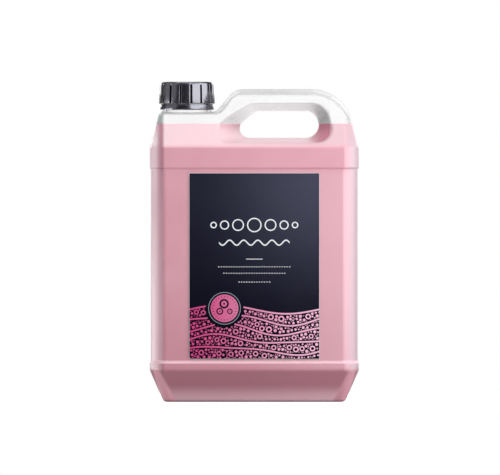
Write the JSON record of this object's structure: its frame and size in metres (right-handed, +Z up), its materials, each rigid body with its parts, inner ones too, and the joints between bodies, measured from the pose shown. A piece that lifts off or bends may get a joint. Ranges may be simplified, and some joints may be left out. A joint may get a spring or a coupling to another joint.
{
  "type": "liquid soap refill can",
  "caption": "Blow-moulded rectangular refill can for liquid soap, with a through-handle, ribbed screw cap, tamper band and front label.",
  "frame": {"origin": "centre of the can's footprint, on the plane that it stands on", "axes": "+Z up, -Y out of the labelled front, -X towards the neck, +X towards the handle"},
  "size_m": [0.19, 0.12, 0.2907],
  "materials": {
    "natural_plastic": "satin translucent natural polyethylene",
    "pearl_soap": "pearly pink liquid",
    "black_plastic": "semi-gloss black moulding",
    "white_foam": "closed-cell foam",
    "label_print": "satin navy film with a pink printed lower field"
  },
  "bodies": {
    "bottle": {"bottle": "natural_plastic", "soap": "pearl_soap", "front_label": "label_print", "tamper_band": "black_plastic"},
    "liner": {"cap_liner": "white_foam"},
    "cap": {"cap": "black_plastic"}
  },
  "joints": [
    {"name": "cap_lift", "type": "slide", "parent": "bottle", "child": "liner", "axis": [0, 0, 1], "range_m": [0, 0.0201]},
    {"name": "cap_turn", "type": "hinge", "parent": "liner", "child": "cap", "pos_m": [-0.0612, 0, 0.2636], "axis": [0, 0, 1], "range_deg": [0, 1800]}
  ],
  "couplings": [
    {"joint": "cap_lift", "follows": "cap_turn", "m_per_rad": 0.00063662}
  ]
}
